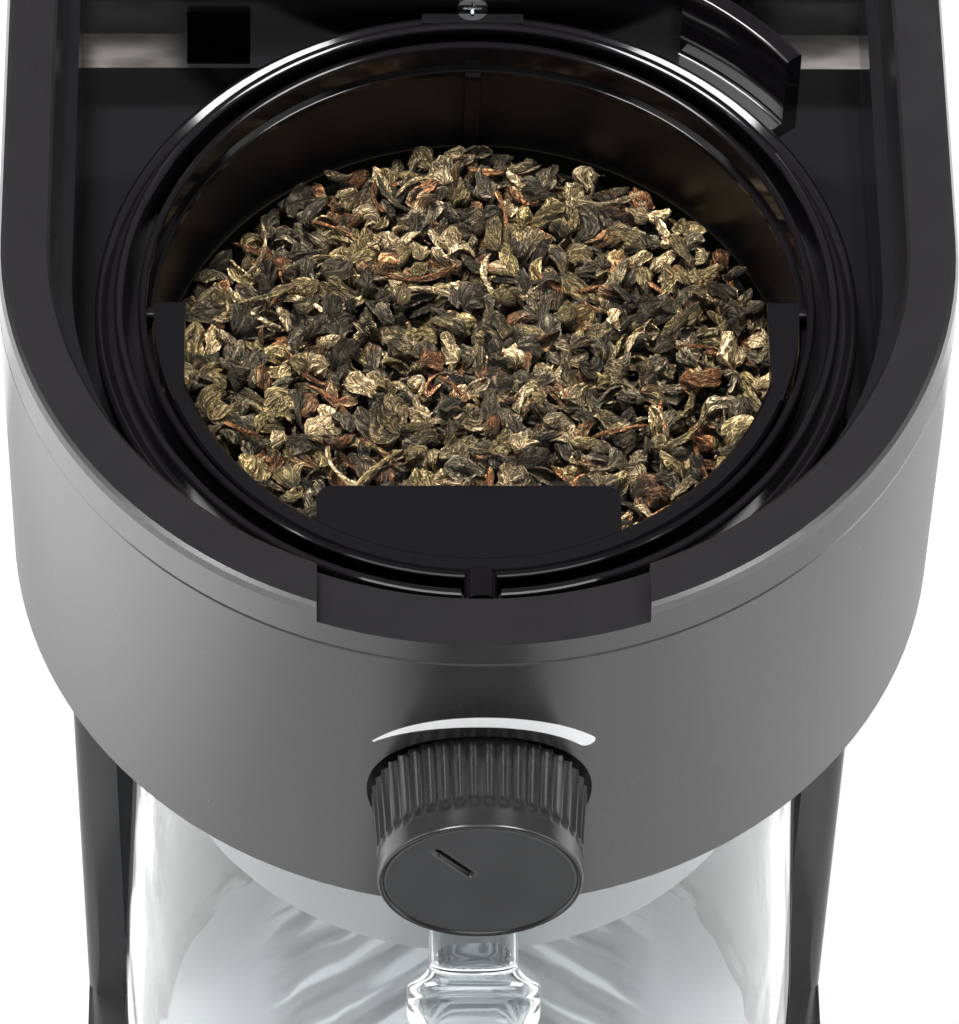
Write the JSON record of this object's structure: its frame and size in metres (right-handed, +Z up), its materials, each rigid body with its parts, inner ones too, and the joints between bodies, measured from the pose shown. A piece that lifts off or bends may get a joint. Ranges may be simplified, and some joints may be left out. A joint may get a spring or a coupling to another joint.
{
  "type": "iced tea maker",
  "caption": "Iced tea maker with a round-fronted brewing head, hinged lid, lift-out leaf basket, strength knob, rear water tank and glass jug.",
  "frame": {"origin": "middle of the footprint of the whole object with its lid open, on the surface under the feet", "axes": "+X to the right, -Y to the front where the knob is, +Z up"},
  "size_m": [0.182, 0.2716, 0.5657],
  "materials": {
    "dark_shell": "glossy dark grey moulded plastic",
    "inner_black": "satin black moulded plastic",
    "foot_rubber": "black rubber",
    "steel_plate": "brushed stainless steel",
    "screw_steel": "zinc-plated steel",
    "head_grey": "satin metallic dark grey paint on plastic",
    "rim_black": "satin black plastic with a fine grain",
    "gloss_black": "polished black plastic",
    "tank_smoke": "smoky translucent plastic",
    "white_plastic": "off-white engineering plastic",
    "silicone": "translucent silicone rubber",
    "heater_aluminium": "raw aluminium",
    "knob_grey": "satin dark grey plastic",
    "mesh_steel": "fine woven stainless mesh",
    "tea": "dry rolled leaf tea",
    "bail_black": "satin black plastic with a gloss grip plate",
    "lid_grey": "grey moulded plastic",
    "jug_glass": "clear thick glass"
  },
  "bodies": {
    "machine": {"base_shell": "dark_shell", "base_bottom_cover": "inner_black", "rubber_feet": "foot_rubber", "jug_plate": "steel_plate", "column_shell": "dark_shell", "rear_cover": "dark_shell", "cover_screws": "screw_steel", "head_housing": "head_grey", "head_underside": "inner_black", "rim_frame": "rim_black", "brew_well": "gloss_black", "well_screw": "screw_steel", "water_tank": "tank_smoke", "tank_strainer": "white_plastic", "check_valve": "white_plastic", "feed_hose": "silicone", "flow_heater": "heater_aluminium", "heater_saddles": "heater_aluminium", "thermostat": "white_plastic", "thermal_fuse": "white_plastic", "riser_tube": "silicone", "riser_nozzle": "inner_black", "cord_gland": "foot_rubber", "start_switch": "white_plastic", "hinge_pins": "screw_steel"},
    "lid": {"lid_shell": "head_grey", "lid_panel": "inner_black", "shower_plate": "inner_black", "lid_duct": "inner_black", "inlet_gasket": "silicone", "lid_screws": "screw_steel"},
    "knob": {"strength_knob": "knob_grey", "knob_shaft": "white_plastic"},
    "gate": {"strength_gate": "white_plastic"},
    "button": {"start_button": "knob_grey"},
    "holder": {"filter_holder": "gloss_black"},
    "filter": {"filter_frame": "gloss_black", "filter_mesh": "mesh_steel", "tea_leaves": "tea"},
    "bail": {"bail_handle": "bail_black"},
    "jug": {"jug": "jug_glass", "jug_handle": "jug_glass"},
    "jug_cover": {"jug_lid": "lid_grey", "jug_lid_seal": "silicone"}
  },
  "joints": [
    {"name": "lid_hinge", "type": "hinge", "parent": "machine", "child": "lid", "pos_m": [0, 0.10782, 0.342], "axis": [-1, 0, 0], "range_deg": [-95, 0]},
    {"name": "knob_turn", "type": "hinge", "parent": "machine", "child": "knob", "pos_m": [0, -0.11718, 0.2808], "axis": [0, 1, 0], "range_deg": [0, 80]},
    {"name": "gate_slide", "type": "slide", "parent": "machine", "child": "gate", "axis": [1, 0, 0], "range_m": [-0.00838, 0]},
    {"name": "button_press", "type": "slide", "parent": "machine", "child": "button", "axis": [0, 1, 0], "range_m": [0, 0.002], "stiffness_N_per_m": 600, "springref_m": -0.001},
    {"name": "holder_lift", "type": "slide", "parent": "machine", "child": "holder", "axis": [0, 0, 1], "range_m": [0, 0.11]},
    {"name": "filter_lift", "type": "slide", "parent": "holder", "child": "filter", "axis": [0, 0, 1], "range_m": [0, 0.08]},
    {"name": "bail_swing", "type": "hinge", "parent": "filter", "child": "bail", "pos_m": [0, -0.02618, 0.311], "axis": [-1, 0, 0], "range_deg": [0, 180]},
    {"name": "jug_pull", "type": "slide", "parent": "machine", "child": "jug", "axis": [0, -1, 0], "range_m": [0, 0.14]},
    {"name": "jug_lid_turn", "type": "hinge", "parent": "jug", "child": "jug_cover", "pos_m": [0, -0.02618, 0.2297], "axis": [0, 0, 1], "range_deg": [0, 90]}
  ],
  "couplings": [
    {"joint": "gate_slide", "follows": "knob_turn", "m_per_rad": -0.006}
  ]
}
